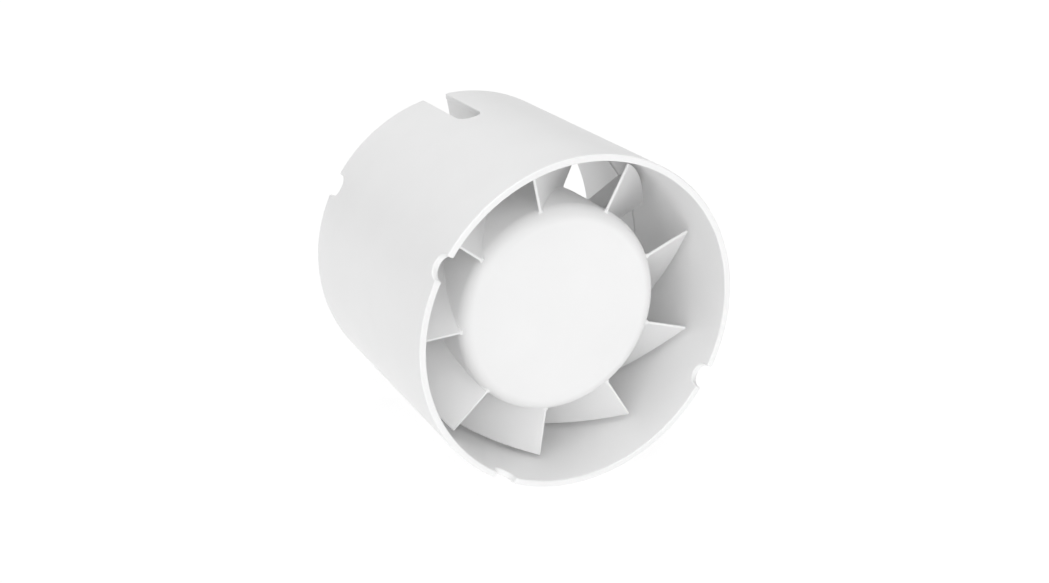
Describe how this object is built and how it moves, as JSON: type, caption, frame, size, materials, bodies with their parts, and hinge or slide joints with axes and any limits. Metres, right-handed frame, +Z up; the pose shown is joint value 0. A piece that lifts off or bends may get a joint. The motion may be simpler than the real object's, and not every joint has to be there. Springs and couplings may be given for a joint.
{
  "type": "in-line extractor fan",
  "caption": "In-line axial extractor fan for a round bathroom duct: notched tube, flat-hubbed bladed impeller, shaded-pole motor in a cup on arms, cable slot.",
  "frame": {"origin": "centre of the casing tube, on the duct axis half way along it", "axes": "+Y along the duct axis from the inlet rim to the outlet rim, +Z up with the cable slot near the top, +X to the right seen from the inlet"},
  "size_m": [0.1, 0.083, 0.1],
  "materials": {
    "casing_plastic": "white ABS, satin gloss",
    "impeller_plastic": "white ABS, satin gloss",
    "plated_steel": "zinc plated",
    "spring_steel": "blued spring steel",
    "ground_steel": "ground",
    "lamination_steel": "stacked laminations, dull",
    "cast_aluminium": "die cast",
    "washer_plastic": "natural nylon",
    "copper": "copper",
    "bobbin_plastic": "black glass-filled nylon",
    "coil_tape": "yellow polyester tape",
    "fuse_case": "resin cased",
    "tinned_wire": "tinned",
    "live_insulation": "brown PVC",
    "neutral_insulation": "blue PVC",
    "die_cast_zinc": "die cast, satin",
    "sintered_bronze": "oil-filled sintered",
    "felt": "wool felt",
    "terminal_plastic": "natural nylon",
    "terminal_brass": "machined"
  },
  "bodies": {
    "casing": {"casing": "casing_plastic", "rear_cover": "casing_plastic", "cover_screws": "plated_steel", "stator_core": "lamination_steel", "core_leg": "lamination_steel", "shading_rings": "copper", "coil_bobbin": "bobbin_plastic", "coil_winding": "copper", "coil_tape": "coil_tape", "thermal_fuse": "fuse_case", "fuse_link": "tinned_wire", "live_lead": "live_insulation", "neutral_lead": "neutral_insulation", "front_bearing_bracket": "die_cast_zinc", "rear_bearing_bracket": "die_cast_zinc", "front_bush": "sintered_bronze", "rear_bush": "sintered_bronze", "oil_felts": "felt", "bush_retainers": "spring_steel", "motor_screws": "plated_steel", "terminal_block": "terminal_plastic", "terminal_cages": "terminal_brass", "terminal_screws": "plated_steel", "terminal_block_screw": "plated_steel", "cable_clamp": "casing_plastic", "clamp_screws": "plated_steel"},
    "rotor": {"impeller": "impeller_plastic", "boss_clamp_ring": "spring_steel", "motor_shaft": "ground_steel", "rotor_core": "lamination_steel", "rotor_end_rings": "cast_aluminium", "shaft_washers": "washer_plastic"}
  },
  "joints": [
    {"name": "impeller_spin", "type": "hinge", "parent": "casing", "child": "rotor", "pos_m": [0, 0, 0], "axis": [0, -1, 0], "continuous": true}
  ]
}
